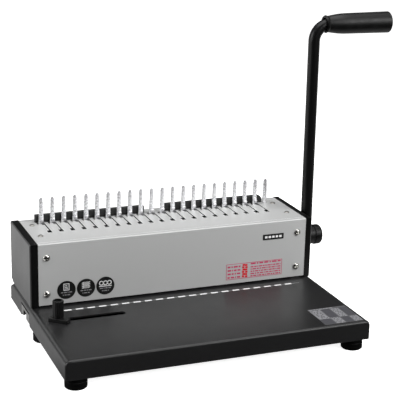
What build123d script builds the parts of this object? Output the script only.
from build123d import *
import math
import os

os.makedirs("parts", exist_ok=True)

# Manual comb binding machine for A4 sheets, built as it comes apart on a bench.
# X runs to the operator's right, Y to the back and Z up, in millimetres. The origin is on the
# table under the middle of the overall box. The lever's grip overhangs on the right, so the
# body's own mid-plane lies to the left of the origin, at mid_x.

# ---------------------------------------------------------------- driving dimensions
pitch = 14.2875                  # 9/16 inch between comb holes
hole_count = 21
finger_count = 22
mid_x = -55.75                   # mid-plane of the head

base_left, base_right = 183.0, 184.2   # sides of the base pan, from the mid-plane
base_front, base_back = -129.9, 129.1
foot_height = 12.6
base_top = 35.5
sheet = 1.6                      # base pan sheet thickness
skin = 1.2                       # head sheet thickness

head_half = 182.0                # half width over the end caps
head_front = 28.1
head_depth = 100.3
head_bottom = 38.2               # lower edge of the front panel: the paper throat's ceiling
head_top = 114.0
left_cap_width = 10.0
right_cap_width = 8.4

shaft_y = head_front + 34.8
shaft_z = 79.5
shaft_diameter = 12.0
lever_swing = 75.0               # degrees from rest to the end of the stroke
lever_lean = 0.46                # degrees, back from upright at rest
tube_diameter = 14.5
tube_wall = 1.8
tube_x = mid_x + 191.3
grip_height = 273.3              # grip axis above the shaft axis
bend_radius = 20.5
grip_start, grip_end = mid_x + 204.8, mid_x + 294.5

punch_stroke = 8.0
punch_y = head_front + 8.0
punch_width, punch_thick = 8.0, 3.0
hook_travel = 28.0
finger_y = head_front + 81.2     # front face of the fingers
finger_rise = 32.6               # above the top plate
finger_half = 2.95
running = 0.05                   # radial clearance of a running fit

tray_y = (head_front + 4.8, head_front + 43.2)

# ---------------------------------------------------------------- derived places
head_back = head_front + head_depth
panel_x = (mid_x - head_half + left_cap_width, mid_x + head_half - right_cap_width)
hole_x = [mid_x + 1.3 + (k - (hole_count - 1) / 2) * pitch for k in range(hole_count)]
finger_x = [mid_x + 2.5 + (k - (finger_count - 1) / 2) * pitch for k in range(finger_count)]
plate_under = head_top - skin
SIDES = {"left": -1, "right": 1}


# ---------------------------------------------------------------- helpers
def block(x, y, z, mode=Mode.ADD):
    """A box between the low and high values given for each axis."""
    spans = [sorted(pair) for pair in (x, y, z)]
    middle = tuple((low + high) / 2 for low, high in spans)
    with Locations(middle):
        Box(*(high - low for low, high in spans), mode=mode)


def rod(start, length, diameter, direction=(0, 0, 1), mode=Mode.ADD):
    """A round bar from start along direction."""
    with Locations(Plane(start, z_dir=direction)):
        Cylinder(diameter / 2, length, align=(Align.CENTER, Align.CENTER, Align.MIN), mode=mode)


def across(side, inner, outer):
    """The X span between two distances from the mid-plane, on the given side."""
    return (mid_x + side * inner, mid_x + side * outer)


def from_front(near, far):
    """The Y span between two distances behind the head's front face."""
    return (head_front + near, head_front + far)


def pan_screw(head, head_height, shank, length):
    """A pan-head screw with a cross recess: head above its own origin, shank below."""
    with BuildPart() as screw:
        with BuildSketch(Plane.XZ):
            with BuildLine():
                Polyline((0, head_height), (0, -length), (shank / 2, -length), (shank / 2, 0),
                         (head / 2, 0), (head / 2, head_height * 0.35))
                ThreePointArc((head / 2, head_height * 0.35), (head * 0.33, head_height * 0.86),
                              (0, head_height))
            make_face()
        revolve(axis=Axis.Z)
        for turn in (0, 90):
            with Locations(Location((0, 0, head_height), (0, 0, turn))):
                Box(head * 0.55, head * 0.13, head_height * 0.9, mode=Mode.SUBTRACT)
    return screw.part


def facing(spots, direction):
    """Planes at the spots whose normals point along direction."""
    return [Plane(spot, z_dir=direction) for spot in spots]


# ---------------------------------------------------------------- base
slot_y = head_front - 44.2
slot_half = 4.9
slot_ends = (mid_x - 166.0, mid_x - 79.3)
port_y = (tray_y[0] - 0.9, tray_y[1] + 0.5)
port_top = 28.9
side_bend, front_bend = 6.5, 3.0
rear_bevel_run, rear_bevel_drop = 9.0, 7.3
base_x = (mid_x - base_left, mid_x + base_right)

with BuildPart() as base_pan:
    with BuildSketch(Plane.YZ.offset(base_x[0])):
        with BuildLine():
            Polyline((base_front, foot_height), (base_front, base_top),
                     (base_back - rear_bevel_run, base_top), (base_back, base_top - rear_bevel_drop),
                     (base_back, foot_height), close=True)
        make_face()
    extrude(amount=base_x[1] - base_x[0])
    top_face = base_pan.faces().filter_by(Axis.Z).sort_by(Axis.Z)[-1]
    fillet(top_face.edges().filter_by(Axis.Y), side_bend)
    front_face = base_pan.faces().filter_by(Axis.Y).sort_by(Axis.Y)[0]
    fillet(front_face.edges().sort_by(Axis.Z)[1:], front_bend)
    offset(amount=-sheet, openings=base_pan.faces().filter_by(Axis.Z).sort_by(Axis.Z)[0])
    for x in hole_x:
        block((x - 4.6, x + 4.6), (punch_y - 2.1, punch_y + 2.1), (30, 40), mode=Mode.SUBTRACT)
    with BuildSketch(Plane.XY.offset(30)):
        with Locations(((slot_ends[0] + slot_ends[1]) / 2, slot_y)):
            SlotOverall(slot_ends[1] - slot_ends[0], 2 * slot_half)
    extrude(amount=10, mode=Mode.SUBTRACT)
    block((base_x[0] - 1, base_x[0] + 3), port_y, (foot_height - 1, port_top), mode=Mode.SUBTRACT)
    for side in SIDES.values():
        for depth in (20, 80):
            rod((mid_x + side * 162, head_front + depth, 30), 10, 4.0, mode=Mode.SUBTRACT)

foot_spots = [(mid_x + x, head_front + depth) for x, depth in
              ((-168.2, -146.0), (-169.7, -11.5), (-140.0, 85.0),
               (166.8, -146.0), (168.0, -11.5), (140.0, 85.0))]

with BuildPart() as bottom_plate:
    inner_x = (base_x[0] + sheet + 0.3, base_x[1] - sheet - 0.3)
    block(inner_x, (base_front + sheet, base_back - sheet), (foot_height, foot_height + 1.2))
    chamfer(bottom_plate.edges().filter_by(Axis.Z), 3.0)
    block((inner_x[0], inner_x[0] + 30), port_y, (foot_height - 1, foot_height + 2), mode=Mode.SUBTRACT)
    for x, y in foot_spots:
        rod((x, y, foot_height - 1), 5, 4.0, mode=Mode.SUBTRACT)

with BuildPart() as foot:
    with BuildSketch(Plane.XZ):
        with BuildLine():
            Polyline((2.0, 5.0), (4.2, 5.0), (4.2, 0), (11.6, 0), (12.6, 1.0), (12.7, 8.2), (12.3, 8.8),
                     (11.2, 8.8), (11.2, foot_height), (2.0, foot_height), close=True)
        make_face()
    revolve(axis=Axis.Z)

with BuildPart() as rubber_feet:
    with Locations(*[(x, y, 0) for x, y in foot_spots]):
        add(foot.part)

with BuildPart() as foot_screws:
    with Locations(*facing([(x, y, 5.0) for x, y in foot_spots], (0, 0, -1))):
        add(pan_screw(8.0, 2.6, 4.0, 10.5))

with BuildPart() as hole_marks:
    for x in hole_x:
        block((x - 4.45, x + 4.45), from_front(-18.0, -15.0), (base_top, base_top + 0.12))

with BuildPart() as mark_line:
    for x in hole_x:
        block((x + 4.45, x + pitch - 4.45), from_front(-17.0, -16.2), (base_top, base_top + 0.1))
    block((hole_x[-1] + pitch - 4.45, hole_x[-1] + pitch + 1), from_front(-17.0, -16.2),
          (base_top, base_top + 0.1))

with BuildPart() as base_sticker:
    block(across(1, 127.5, 177.0), from_front(-153.5, -105.0), (base_top, base_top + 0.15))

# ---------------------------------------------------------------- chip tray
tray_z = (foot_height + 2.6, 26.2)
tray_wall = 1.2
tray_x = across(1, -176.0, 158.0)

with BuildPart() as chip_tray:
    block(tray_x, tray_y, tray_z)
    fillet(chip_tray.edges().filter_by(Axis.Z), 2.0)
    offset(amount=-tray_wall, openings=chip_tray.faces().sort_by(Axis.Z)[-1])
    for y in (tray_y[0] + 6, tray_y[1] - 6):
        block((tray_x[0] + 35, tray_x[1] - 5), (y - 1.5, y + 1.5), (foot_height + 1.25, tray_z[0]))

with BuildPart() as tray_door:
    block((base_x[0], base_x[0] + sheet), tray_y, (tray_z[0], port_top - 2.0))
    for strip in ((tray_y[0], tray_y[0] + 8), (tray_y[1] - 8, tray_y[1])):
        block((base_x[0] + sheet, tray_x[0]), strip, (tray_z[0], tray_z[0] + tray_wall))
    with BuildSketch(Plane.YZ.offset(base_x[0] - 1)):
        with Locations((head_front + 26.6, foot_height + 2.5)):
            RectangleRounded(14, 16, 2.0)
    extrude(amount=3, mode=Mode.SUBTRACT)

# ---------------------------------------------------------------- paper stop
stop_x, stop_y = mid_x - 160.4, slot_y
stop_z = (base_top + 0.2, base_top + 4.6)
knob_top = base_top + 25.0
clamp_thread = 4.0

stud_low, stud_top = 28.6, stop_z[1] + 14.0

with BuildPart() as stop_plate:
    with BuildSketch(Plane.XY.offset(stop_z[0])):
        with Locations(Location((stop_x + 0.1, stop_y - 4.1, 0), (0, 0, -40.7))):
            RectangleRounded(24.5, 9.0, 1.2)
        with Locations((stop_x, stop_y)):
            Circle(6.2)
    extrude(amount=stop_z[1] - stop_z[0])
    chamfer(stop_plate.faces().sort_by(Axis.Z)[-1].edges(), 0.5)
    rod((stop_x, stop_y, base_top - sheet - 0.2), sheet + 0.4, 2 * slot_half - 0.6)
    rod((stop_x, stop_y, 30), 20, clamp_thread + 2 * running, mode=Mode.SUBTRACT)

with BuildPart() as stop_nut:
    block((stop_x - 11, stop_x + 11), (stop_y - 8, stop_y + 8), (30.2, base_top - sheet - 0.2))
    rod((stop_x, stop_y, 29), 6, clamp_thread, mode=Mode.SUBTRACT)

with BuildPart() as stop_knob:
    rod((stop_x, stop_y, stop_z[1] + 0.1), knob_top - stop_z[1] - 0.1, 13.0)
    chamfer(stop_knob.edges().sort_by(Axis.Z)[-1], 0.6)
    with Locations((stop_x, stop_y, stop_z[1] + 1.4)):
        with PolarLocations(6.75, 14):
            Cylinder(0.8, 20, align=(Align.CENTER, Align.CENTER, Align.MIN), mode=Mode.SUBTRACT)
    rod((stop_x, stop_y, knob_top - 2.0), 3, 9.0, mode=Mode.SUBTRACT)
    rod((stop_x, stop_y, stop_z[1]), stud_top + 0.3 - stop_z[1], clamp_thread + 2 * running,
        mode=Mode.SUBTRACT)

with BuildPart() as stop_screw:
    rod((stop_x, stop_y, stud_low), stud_top - stud_low, clamp_thread)

# ---------------------------------------------------------------- head structure
web = (167.0, 170.0)
flange_inner = 156.0
frame_back = head_depth - skin
frame_z = (base_top, plate_under)
cap_screw_spots = [(depth, level) for depth in (24.0, 80.0) for level in (56.0, 98.0)]


def side_frame(side):
    """A folded steel cheek: a web with flanges at the front, back, top and bottom."""
    with BuildPart() as cheek:
        block(across(side, *web), from_front(skin, frame_back), frame_z)
        flange_x = across(side, flange_inner, web[0])
        block(flange_x, from_front(skin, skin + 2), frame_z)
        block(flange_x, from_front(frame_back - 2, frame_back), frame_z)
        block(flange_x, from_front(skin, frame_back), (frame_z[1] - 2, frame_z[1]))
        block(flange_x, from_front(skin, frame_back), (frame_z[0], frame_z[0] + 2))
        rod((mid_x + side * 160, shaft_y, shaft_z), 20, 16.0, (side, 0, 0), mode=Mode.SUBTRACT)
        for level in (51.6, 96.8):
            rod((mid_x + side * 162, head_front - 5, level), 120, 4.0, (0, 1, 0), mode=Mode.SUBTRACT)
        for depth in (31.0, 74.0):
            rod((mid_x + side * 161, head_front + depth, 105), 10, 4.0, mode=Mode.SUBTRACT)
        for depth in (20.0, 80.0):
            rod((mid_x + side * 162, head_front + depth, 30), 10, 4.0, mode=Mode.SUBTRACT)
        for depth, level in cap_screw_spots:
            rod((mid_x + side * 160, head_front + depth, level), 20, 3.0, (side, 0, 0),
                mode=Mode.SUBTRACT)
    return cheek


left_side_frame = side_frame(-1)
right_side_frame = side_frame(1)


def bushing(side, outer_end):
    """A flanged bronze bushing in the cheek."""
    with BuildPart() as bush:
        rod((mid_x + side * 164.0, shaft_y, shaft_z), outer_end - 164.0, 16.0, (side, 0, 0))
        rod((mid_x + side * 165.4, shaft_y, shaft_z), 1.6, 20.0, (side, 0, 0))
        rod((mid_x + side * 160, shaft_y, shaft_z), 30, shaft_diameter + 2 * running,
            (side, 0, 0), mode=Mode.SUBTRACT)
    return bush


left_bushing = bushing(-1, 173.0)
right_bushing = bushing(1, head_half)

with BuildPart() as frame_screws:
    spots = [(mid_x + side * 162, head_front + depth, base_top - sheet)
             for side in SIDES.values() for depth in (20.0, 80.0)]
    with Locations(*facing(spots, (0, 0, -1))):
        add(pan_screw(7.5, 2.4, 4.0, 4.6))

# ---------------------------------------------------------------- head covers
lip_depth = 6.8                  # front panel's folded lip on top
rear_lip = 9.0
label_z = (90.8, 98.1)
badge_x = [mid_x - 138.5 + k * 24.0 for k in range(3)]

with BuildPart() as front_panel:
    block(panel_x, from_front(0, skin), (head_bottom, head_top))
    block(panel_x, from_front(0, lip_depth), (plate_under, head_top))
    outer_edge = front_panel.edges().filter_by(Axis.X).group_by(Axis.Y)[0].sort_by(Axis.Z)[-1]
    fillet(outer_edge, 1.1)
    for side in SIDES.values():
        for level in (51.6, 96.8):
            rod((mid_x + side * 162, head_front - 5, level), 20, 4.0, (0, 1, 0), mode=Mode.SUBTRACT)

plate_cut = (plate_under - 2, head_top + 2)
with BuildPart() as top_plate:
    block(panel_x, from_front(lip_depth + 0.25, head_depth - rear_lip - 0.25), (plate_under, head_top))
    for x in finger_x[:-1]:
        block((x + 1.9, x + 3.7), from_front(41.6, 80.5), plate_cut, mode=Mode.SUBTRACT)
        block((x - 1.3, x + 3.9), from_front(41.6, 50.4), plate_cut, mode=Mode.SUBTRACT)
        block((x - 1.1, x + 3.7), from_front(72.9, 79.3), plate_cut, mode=Mode.SUBTRACT)
        block((x - 6.2, x + 3.7), from_front(79.2, 83.2), plate_cut, mode=Mode.SUBTRACT)
        block((x - 6.2, x - 4.7), from_front(74.5, 79.3), plate_cut, mode=Mode.SUBTRACT)
    last = finger_x[-1]
    block((last - 3.3, last + 3.3), from_front(80.6, 83.2), plate_cut, mode=Mode.SUBTRACT)
    for side in SIDES.values():
        for depth in (31.0, 74.0):
            rod((mid_x + side * 161, head_front + depth, 105), 20, 4.0, mode=Mode.SUBTRACT)

with BuildPart() as rear_cover:
    block(panel_x, from_front(head_depth - skin, head_depth), (base_top + 0.6, head_top))
    block(panel_x, from_front(head_depth - rear_lip, head_depth), (plate_under, head_top))
    outer_edge = rear_cover.edges().filter_by(Axis.X).group_by(Axis.Y)[-1].sort_by(Axis.Z)[-1]
    fillet(outer_edge, 1.1)
    for side in SIDES.values():
        for level in (51.6, 96.8):
            rod((mid_x + side * 162, head_back - 10, level), 20, 4.0, (0, 1, 0), mode=Mode.SUBTRACT)


def end_cap(side, width, shaft_hole):
    """A moulded end cover: an outer wall with a deep rim and four screw bosses inside."""
    outer, inner = head_half, head_half - width
    wall = 2.4
    bottom = base_top + 0.5
    with BuildPart() as cap:
        with BuildSketch(Plane.YZ.offset(mid_x + side * inner)):
            with BuildLine():
                Polyline((head_front - 0.3, bottom), (head_front - 0.3, head_top + 0.2),
                         (head_back + 0.2, head_top + 0.2), (head_back + 0.2, bottom + 4.0),
                         (head_back - 9.0, bottom), close=True)
            make_face()
        extrude(amount=side * width)
        outer_face = cap.faces().sort_by(Axis.X)[-1 if side > 0 else 0]
        chamfer(outer_face.edges(), 1.2)
        pocket = (mid_x + side * (inner - 1), mid_x + side * (outer - wall))
        block(pocket, from_front(-0.3 + wall, head_depth - wall), (bottom + 4.6, head_top - 1.4),
              mode=Mode.SUBTRACT)
        for depth, level in cap_screw_spots:
            start = (mid_x + side * web[1], head_front + depth, level)
            rod(start, outer - wall - web[1], 8.0, (side, 0, 0))
            rod(start, outer - wall - web[1], 3.0, (side, 0, 0), mode=Mode.SUBTRACT)
        block(across(side, inner - 1, outer + 1), from_front(12.6, 25.8), (bottom - 1, bottom + 1.9),
              mode=Mode.SUBTRACT)
        if shaft_hole:
            rod((mid_x + side * 160, shaft_y, shaft_z), 30, 16.0, (side, 0, 0), mode=Mode.SUBTRACT)
    return cap


left_end_cap = end_cap(-1, left_cap_width, shaft_hole=False)
right_end_cap = end_cap(1, right_cap_width, shaft_hole=True)

with BuildPart() as end_cap_screws:
    for side in SIDES.values():
        spots = [(mid_x + side * web[0], head_front + depth, level) for depth, level in cap_screw_spots]
        with Locations(*facing(spots, (-side, 0, 0))):
            add(pan_screw(5.5, 1.9, 3.0, 9.0))

with BuildPart() as front_panel_screws:
    spots = [(mid_x + side * 162, head_front, level) for side in SIDES.values() for level in (51.6, 96.8)]
    with Locations(*facing(spots, (0, -1, 0))):
        add(pan_screw(8.4, 2.5, 4.0, 4.4))

with BuildPart() as top_plate_screws:
    spots = [(mid_x + side * 161, head_front + depth, head_top)
             for side in SIDES.values() for depth in (31.0, 74.0)]
    with Locations(*facing(spots, (0, 0, 1))):
        add(pan_screw(6.4, 1.6, 4.0, 4.2))

with BuildPart() as rear_cover_screws:
    spots = [(mid_x + side * 162, head_back, level) for side in SIDES.values() for level in (51.6, 96.8)]
    with Locations(*facing(spots, (0, 1, 0))):
        add(pan_screw(6.4, 1.9, 4.0, 4.4))

with BuildPart() as spec_badges:
    for x in badge_x:
        rod((x, head_front, 54.6), 0.2, 22.6, (0, -1, 0))

with BuildPart() as name_plate:
    block(across(1, 114.6, 143.0), from_front(-0.3, 0), label_z)

with BuildPart() as notice_plate:
    block(across(1, 65.8, 142.6), from_front(-0.2, 0), (43.0, 64.3))

# ---------------------------------------------------------------- punch and die
die_half = 153.0
guide_half = 164.0
guide_z = (head_bottom, head_bottom + 8.0)
bar_z = (66.0, 80.0)
post_x, post_y = 159.0, head_front + 11.0

with BuildPart() as die_bar:
    block(across(1, -die_half, die_half), from_front(1.5, 14.5), (base_top - sheet - 7.0, base_top - sheet))
    for x in hole_x:
        block((x - punch_width / 2 - 0.05, x + punch_width / 2 + 0.05),
              (punch_y - punch_thick / 2 - 0.05, punch_y + punch_thick / 2 + 0.05), (20, 40),
              mode=Mode.SUBTRACT)

with BuildPart() as paper_backstop:
    block(across(1, -150.0, 150.0), from_front(12.2, 15.8), (base_top, head_bottom))

with BuildPart() as pin_guide_bar:
    block(across(1, -guide_half, guide_half), from_front(4.2, 17.8), guide_z)
    for x in hole_x:
        block((x - punch_width / 2 - running, x + punch_width / 2 + running),
              (punch_y - punch_thick / 2 - running, punch_y + punch_thick / 2 + running), (30, 50),
              mode=Mode.SUBTRACT)
    for side in SIDES.values():
        rod((mid_x + side * post_x, post_y, 40.0), 10, 8.0, mode=Mode.SUBTRACT)

with BuildPart() as guide_posts:
    for side in SIDES.values():
        rod((mid_x + side * post_x, post_y, 40.0), 50.0, 8.0)

with BuildPart() as punch_bar:
    block(across(1, -guide_half, guide_half), from_front(4.2, 14.2), bar_z)
    for side in SIDES.values():
        block(across(side, 152.0, guide_half), from_front(4.2, 17.8), bar_z)
        rod((mid_x + side * post_x, post_y, 60), 30, 8.0 + 2 * running, mode=Mode.SUBTRACT)
    for x in hole_x:
        block((x - punch_width / 2, x + punch_width / 2),
              (punch_y - punch_thick / 2, punch_y + punch_thick / 2), (bar_z[0], bar_z[0] + 4),
              mode=Mode.SUBTRACT)

with BuildPart() as punch_pins:
    for x in hole_x:
        block((x - punch_width / 2, x + punch_width / 2),
              (punch_y - punch_thick / 2, punch_y + punch_thick / 2), (head_bottom + 0.7, bar_z[0] + 4))

spring_wire = 1.0
spring_rest = (guide_z[1], bar_z[0])
with BuildPart() as return_springs:
    height = spring_rest[1] - spring_rest[0] - 2 * spring_wire
    for side in SIDES.values():
        centre = (mid_x + side * post_x, post_y, spring_rest[0] + spring_wire)
        with BuildLine(Plane(centre)) as coil:
            Helix(height / 6, height, 5.1)
        with BuildSketch(Plane(coil.line @ 0, z_dir=coil.line % 0)):
            Circle(spring_wire / 2)
        sweep(path=coil.line, is_frenet=True)

# ---------------------------------------------------------------- shaft, cams and arms
# The cam lobe is a circle whose centre is cam_offset from the shaft axis. It swings evenly about
# the horizontal, so the punch bar's drop is punch_stroke at the end of the lever's swing.
half_swing = math.radians(lever_swing / 2)
cam_offset = punch_stroke / (2 * math.sin(half_swing))
lobe_radius = 12.5
cam_x = 120.0
lobe_y = shaft_y - cam_offset * math.cos(half_swing)
lobe_z = shaft_z + cam_offset * math.sin(half_swing)
pad_top = lobe_z - lobe_radius - 0.5

arm_length = hook_travel / (2 * math.sin(half_swing))
arm_x = (134.5, 138.5)
arm_pin = 5.0
arm_y = shaft_y + arm_length * math.sin(half_swing)
arm_z = shaft_z + arm_length * math.cos(half_swing)

with BuildPart() as follower_brackets:
    for side in SIDES.values():
        block(across(side, cam_x - 8, cam_x + 8), (head_front + 14.2, shaft_y + 4), (pad_top - 7, pad_top))

shaft_end = 184.0
stub_end = 206.0
with BuildPart() as main_shaft:
    rod((mid_x - 176.0, shaft_y, shaft_z), 176.0 + shaft_end, shaft_diameter, (1, 0, 0))
    rod((mid_x + shaft_end, shaft_y, shaft_z), stub_end - shaft_end, 8.0, (1, 0, 0))
    rod((mid_x - 174.6, shaft_y, shaft_z), 1.0, shaft_diameter + 2, (1, 0, 0), mode=Mode.SUBTRACT)
    rod((mid_x - 174.6, shaft_y, shaft_z), 1.0, shaft_diameter - 1.6, (1, 0, 0))

with BuildPart() as shaft_clip:
    rod((mid_x - 174.6, shaft_y, shaft_z), 1.0, 17.0, (1, 0, 0))
    rod((mid_x - 175, shaft_y, shaft_z), 2.0, shaft_diameter - 1.6, (1, 0, 0), mode=Mode.SUBTRACT)
    block(across(-1, 172, 177), (shaft_y - 2.5, shaft_y + 2.5), (shaft_z - 12, shaft_z),
          mode=Mode.SUBTRACT)

with BuildPart() as drive_cams:
    for side in SIDES.values():
        start = mid_x + side * cam_x - 5
        rod((start, shaft_y, shaft_z), 10, 16.0, (1, 0, 0))
        rod((start, lobe_y, lobe_z), 10, 2 * lobe_radius, (1, 0, 0))
        rod((start - 1, shaft_y, shaft_z), 12, shaft_diameter, (1, 0, 0), mode=Mode.SUBTRACT)

with BuildPart() as rack_arms:
    for side in SIDES.values():
        with BuildSketch(Plane.YZ.offset(mid_x + side * arm_x[0])):
            with Locations((shaft_y, shaft_z)):
                Circle(9.0)
            with Locations((arm_y, arm_z)):
                Circle(4.6)
            make_hull()
            with Locations((shaft_y, shaft_z)):
                Circle(shaft_diameter / 2, mode=Mode.SUBTRACT)
            with Locations((arm_y, arm_z)):
                Circle(arm_pin / 2, mode=Mode.SUBTRACT)
        extrude(amount=side * (arm_x[1] - arm_x[0]))

with BuildPart() as arm_pins:
    for side in SIDES.values():
        rod((mid_x + side * arm_x[1], arm_y, arm_z), arm_x[1] - 129.0, arm_pin, (-side, 0, 0))

# ---------------------------------------------------------------- lever
lean = math.radians(lever_lean)
lever_plane = Plane((0, shaft_y, shaft_z), x_dir=(1, 0, 0), z_dir=(0, -math.cos(lean), math.sin(lean)))
tube_foot = -9.0                 # lower end of the tube, below the shaft axis
hub_x = (183.8, 200.6)
knob_x = (200.6, 211.4)
mouth = 8.2                      # radius of the opening at the grip's mouth


def tube_path():
    """The tube's centre line, from its foot in the hub to its end inside the grip."""
    with BuildLine(lever_plane) as path:
        FilletPolyline((tube_x, tube_foot), (tube_x, grip_height), (grip_end - 9, grip_height),
                       radius=bend_radius)
    return path


with BuildPart() as tube_outline:
    centre_line = tube_path()
    with BuildSketch(Plane(centre_line.line @ 0, z_dir=centre_line.line % 0)):
        Circle(tube_diameter / 2)
    sweep(path=centre_line.line)

with BuildPart() as lever_tube:
    centre_line = tube_path()
    with BuildSketch(Plane(centre_line.line @ 0, z_dir=centre_line.line % 0)):
        Circle(tube_diameter / 2)
        Circle(tube_diameter / 2 - tube_wall, mode=Mode.SUBTRACT)
    sweep(path=centre_line.line)
    rod((mid_x + 170, shaft_y, shaft_z), 50, 8.0, (1, 0, 0), mode=Mode.SUBTRACT)

with BuildPart() as lever_grip:
    with BuildSketch(lever_plane):
        with BuildLine():
            bead, neck = (grip_start + 1.4, grip_height + 11.05), (grip_start + 4.0, grip_height + 10.1)
            swell, shoulder = (grip_start + 28, grip_height + 12.8), (grip_end - 1.2, grip_height + 13.4)
            Polyline((grip_end, grip_height), (grip_start + 5, grip_height),
                     (grip_start + 5, grip_height + mouth), (grip_start, grip_height + mouth),
                     (grip_start, grip_height + 10.1), bead, neck)
            Spline(neck, swell, tangents=((1, 0.17), (1, 0.02)))
            Line(swell, shoulder)
            ThreePointArc(shoulder, (grip_end - 0.35, grip_height + 13.05), (grip_end, grip_height + 12.2))
            Line((grip_end, grip_height + 12.2), (grip_end, grip_height))
        make_face()
    revolve(axis=Axis(lever_plane.from_local_coords((0, grip_height, 0)), (1, 0, 0)))
    add(tube_outline.part, mode=Mode.SUBTRACT)

with BuildPart() as lever_hub:
    rod((mid_x + hub_x[0], shaft_y, shaft_z), hub_x[1] - hub_x[0], 24.0, (1, 0, 0))
    chamfer(lever_hub.edges().filter_by(GeomType.CIRCLE), 0.5)
    add(tube_outline.part, mode=Mode.SUBTRACT)
    rod((mid_x + shaft_end, shaft_y, shaft_z), 30, 8.0, (1, 0, 0), mode=Mode.SUBTRACT)
    rod((mid_x + 170, shaft_y, shaft_z), shaft_end - 170, shaft_diameter, (1, 0, 0), mode=Mode.SUBTRACT)
    rod((tube_x, shaft_y - 13, shaft_z), 8, 4.0, (0, 1, 0), mode=Mode.SUBTRACT)

with BuildPart() as hub_set_screw:
    with BuildSketch(Plane.XZ.offset(-(shaft_y - 11.6))):
        with Locations((tube_x, shaft_z)):
            Circle(2.0)
            RegularPolygon(1.1, 6, mode=Mode.SUBTRACT)
    extrude(amount=-(11.6 - tube_diameter / 2))

with BuildPart() as hub_knob:
    with BuildSketch(Plane((0, shaft_y, shaft_z), x_dir=(1, 0, 0), z_dir=(0, -1, 0))):
        with BuildLine():
            start, end = mid_x + knob_x[0], mid_x + knob_x[1]
            Polyline((end - 1.0, 0), (start, 0), (start, 12.0), (start + 1.0, 12.0), (start + 1.0, 12.9),
                     (end - 3.8, 12.9))
            ThreePointArc((end - 3.8, 12.9), (end - 1.1, 11.6), (end, 8.6))
            Polyline((end, 8.6), (end, 6.6), (end - 1.0, 6.0), (end - 1.0, 0))
        make_face()
    revolve(axis=Axis((0, shaft_y, shaft_z), (1, 0, 0)))
    for ring in (3.0, 4.6):
        rod((mid_x + knob_x[0] + ring, shaft_y, shaft_z), 0.5, 30, (1, 0, 0), mode=Mode.SUBTRACT)
        rod((mid_x + knob_x[0] + ring, shaft_y, shaft_z), 0.5, 25.0, (1, 0, 0))
    rod((mid_x + 190, shaft_y, shaft_z), stub_end - 190, 8.0, (1, 0, 0), mode=Mode.SUBTRACT)

with BuildPart() as hub_washer:
    rod((mid_x + head_half + 0.3, shaft_y, shaft_z), hub_x[0] - head_half - 0.3, 20.0, (1, 0, 0))
    rod((mid_x + 180, shaft_y, shaft_z), 10, shaft_diameter, (1, 0, 0), mode=Mode.SUBTRACT)

# ---------------------------------------------------------------- ring opener
rack_z = (plate_under - 3.3, plate_under - 1.5)
rack_half = 154.0
lug_x = (130.0, 133.0)

with BuildPart() as hook_rack:
    block(across(1, -rack_half, rack_half), from_front(42.0, 80.0), rack_z)
    for k in range(6):
        x = mid_x - 120 + k * 48
        block((x - 14, x + 14), from_front(52, 66), (rack_z[0] - 1, rack_z[1] + 1), mode=Mode.SUBTRACT)

slot_low = arm_z - arm_pin / 2 - 0.6
slot_high = shaft_z + arm_length + arm_pin / 2 + 0.6
with BuildPart() as rack_lugs:
    for side in SIDES.values():
        block(across(side, *lug_x), (arm_y - 6.6, arm_y + 6.6), (slot_low - 3.2, rack_z[0]))
        block(across(side, lug_x[0] - 1, lug_x[1] + 1),
              (arm_y - arm_pin / 2 - 0.7, arm_y + arm_pin / 2 + 0.7),
              (slot_low, slot_high), mode=Mode.SUBTRACT)

with BuildPart() as ring_hooks:
    for x in finger_x[:-1]:
        block((x + 2.2, x + 3.2), from_front(76.6, 79.6), (rack_z[1], head_top + 1.5))
        block((x + 1.2, x + 3.2), from_front(77.7, 78.7), (head_top + 0.3, head_top + 1.5))
        block((x - 4.2, x + 1.4), from_front(77.7, 78.7), (head_top + 0.3, head_top + 5.4))
        block((x - 4.2, x + 1.4), from_front(75.9, 78.7), (head_top + 4.6, head_top + 5.4))
        block((x - 2.9, x + 0.1), from_front(77, 79), (head_top + 2.0, head_top + 3.8), mode=Mode.SUBTRACT)

with BuildPart() as rack_rails:
    for side in SIDES.values():
        block(across(side, 150.0, web[0]), from_front(8.0, 80.8), (rack_z[0] - 2.2, rack_z[0] - 0.2))

bar_y = from_front(82.6, 86.6)
with BuildPart() as finger_bar:
    block(across(1, -web[0], web[0]), bar_y, (99.0, 110.0))

with BuildPart() as finger:
    with BuildSketch(Plane.XZ):
        with BuildLine():
            tip = head_top + finger_rise
            root, side = (finger_half, head_top + 8), (finger_half - 0.45, tip - 3.6)
            Polyline((-side[0], side[1]), (-root[0], root[1]), (-root[0], 100.0), (root[0], 100.0),
                     root, side)
            Spline(side, (0, tip), (-side[0], side[1]), tangents=((-0.1, 1), (-0.1, -1)))
        make_face()
    extrude(amount=-1.4)
    fillet(finger.faces().sort_by(Axis.Y)[0].edges(), 0.55)

with BuildPart() as comb_fingers:
    with Locations(*[(x, finger_y, 0) for x in finger_x]):
        add(finger.part)


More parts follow.
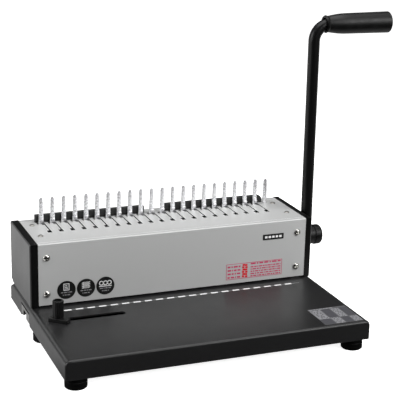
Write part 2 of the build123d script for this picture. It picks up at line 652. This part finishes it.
def comb_rest(x_low, x_high, rounded):
    """A black strip behind the fingers that the comb's spine leans on."""
    with BuildPart() as rest:
        block((x_low, x_high), from_front(83.4, 89.6), (head_top, head_top + 9.6))
        end = rest.edges().filter_by(Axis.Y).group_by(Axis.Z)[-1].sort_by(Axis.X)
        fillet(end[-1], 5.5 if rounded else 1.0)
        fillet(rest.edges().filter_by(Axis.X).group_by(Axis.Z)[-1], 0.8)
    return rest


comb_rest_left = comb_rest(mid_x - 154.6, mid_x - 13.5, rounded=False)
comb_rest_right = comb_rest(mid_x + 13.5, mid_x + 149.0, rounded=True)

# ---------------------------------------------------------------- write one file per node
pieces = {
    "base_pan": base_pan, "bottom_plate": bottom_plate, "rubber_feet": rubber_feet,
    "foot_screws": foot_screws, "hole_marks": hole_marks, "mark_line": mark_line,
    "base_sticker": base_sticker, "chip_tray": chip_tray, "tray_door": tray_door, "stop_plate": stop_plate,
    "stop_nut": stop_nut, "stop_knob": stop_knob, "stop_screw": stop_screw,
    "left_side_frame": left_side_frame, "right_side_frame": right_side_frame,
    "left_bushing": left_bushing, "right_bushing": right_bushing, "frame_screws": frame_screws,
    "front_panel": front_panel, "top_plate": top_plate, "rear_cover": rear_cover,
    "left_end_cap": left_end_cap, "right_end_cap": right_end_cap, "end_cap_screws": end_cap_screws,
    "front_panel_screws": front_panel_screws, "top_plate_screws": top_plate_screws,
    "rear_cover_screws": rear_cover_screws, "spec_badges": spec_badges, "name_plate": name_plate,
    "notice_plate": notice_plate, "die_bar": die_bar, "paper_backstop": paper_backstop,
    "pin_guide_bar": pin_guide_bar, "guide_posts": guide_posts, "punch_bar": punch_bar,
    "punch_pins": punch_pins, "return_springs": return_springs,
    "follower_brackets": follower_brackets, "main_shaft": main_shaft, "shaft_clip": shaft_clip,
    "drive_cams": drive_cams, "rack_arms": rack_arms, "arm_pins": arm_pins,
    "lever_tube": lever_tube, "lever_grip": lever_grip, "lever_hub": lever_hub,
    "hub_set_screw": hub_set_screw, "hub_knob": hub_knob, "hub_washer": hub_washer,
    "hook_rack": hook_rack, "rack_lugs": rack_lugs, "ring_hooks": ring_hooks,
    "rack_rails": rack_rails, "finger_bar": finger_bar, "comb_fingers": comb_fingers,
    "comb_rest_left": comb_rest_left, "comb_rest_right": comb_rest_right,
}
for name, piece in pieces.items():
    piece.part.label = name
    export_step(piece.part, f"parts/{name}.step")
print(len(pieces), "nodes")
